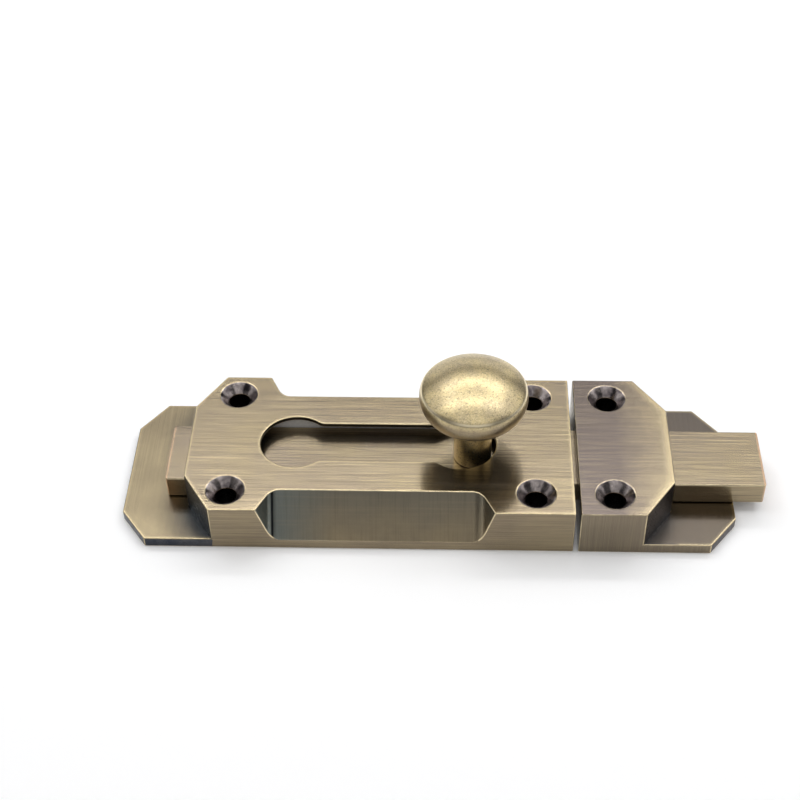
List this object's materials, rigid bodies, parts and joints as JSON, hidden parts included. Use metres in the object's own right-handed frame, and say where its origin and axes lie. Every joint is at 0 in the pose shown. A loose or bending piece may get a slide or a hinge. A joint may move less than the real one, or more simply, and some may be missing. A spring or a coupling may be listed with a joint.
{
  "type": "surface slide bolt",
  "caption": "Surface slide bolt: a flat bar with a mushroom knob slides through a waisted body casting and shoots into a separate keeper; countersunk screw holes.",
  "frame": {"origin": "on the back face of the body, at the middle of the raised block's left end", "axes": "+X is the way the bolt shoots, +Z points away from the door, and Y runs across the bolt"},
  "size_m": [0.129, 0.038, 0.0298],
  "materials": {
    "body_brass": "brushed antique patina",
    "keeper_brass": "brushed antique patina",
    "bar_brass": "brushed antique patina, worn edges",
    "spring_bronze": "rolled phosphor bronze",
    "knob_brass": "satin antique patina",
    "stud_steel": "zinc plated"
  },
  "bodies": {
    "body": {"body_casting": "body_brass"},
    "bolt": {"bolt_bar": "bar_brass", "friction_spring": "spring_bronze", "knob": "knob_brass", "knob_stud": "stud_steel"},
    "keeper": {"keeper_casting": "keeper_brass"}
  },
  "joints": [
    {"name": "bolt_slide", "type": "slide", "parent": "body", "child": "bolt", "axis": [1, 0, 0], "range_m": [-0.0382, 0]},
    {"name": "keeper_slide", "type": "slide", "parent": "body", "child": "keeper", "axis": [1, 0, 0], "range_m": [0, 0.05]}
  ]
}
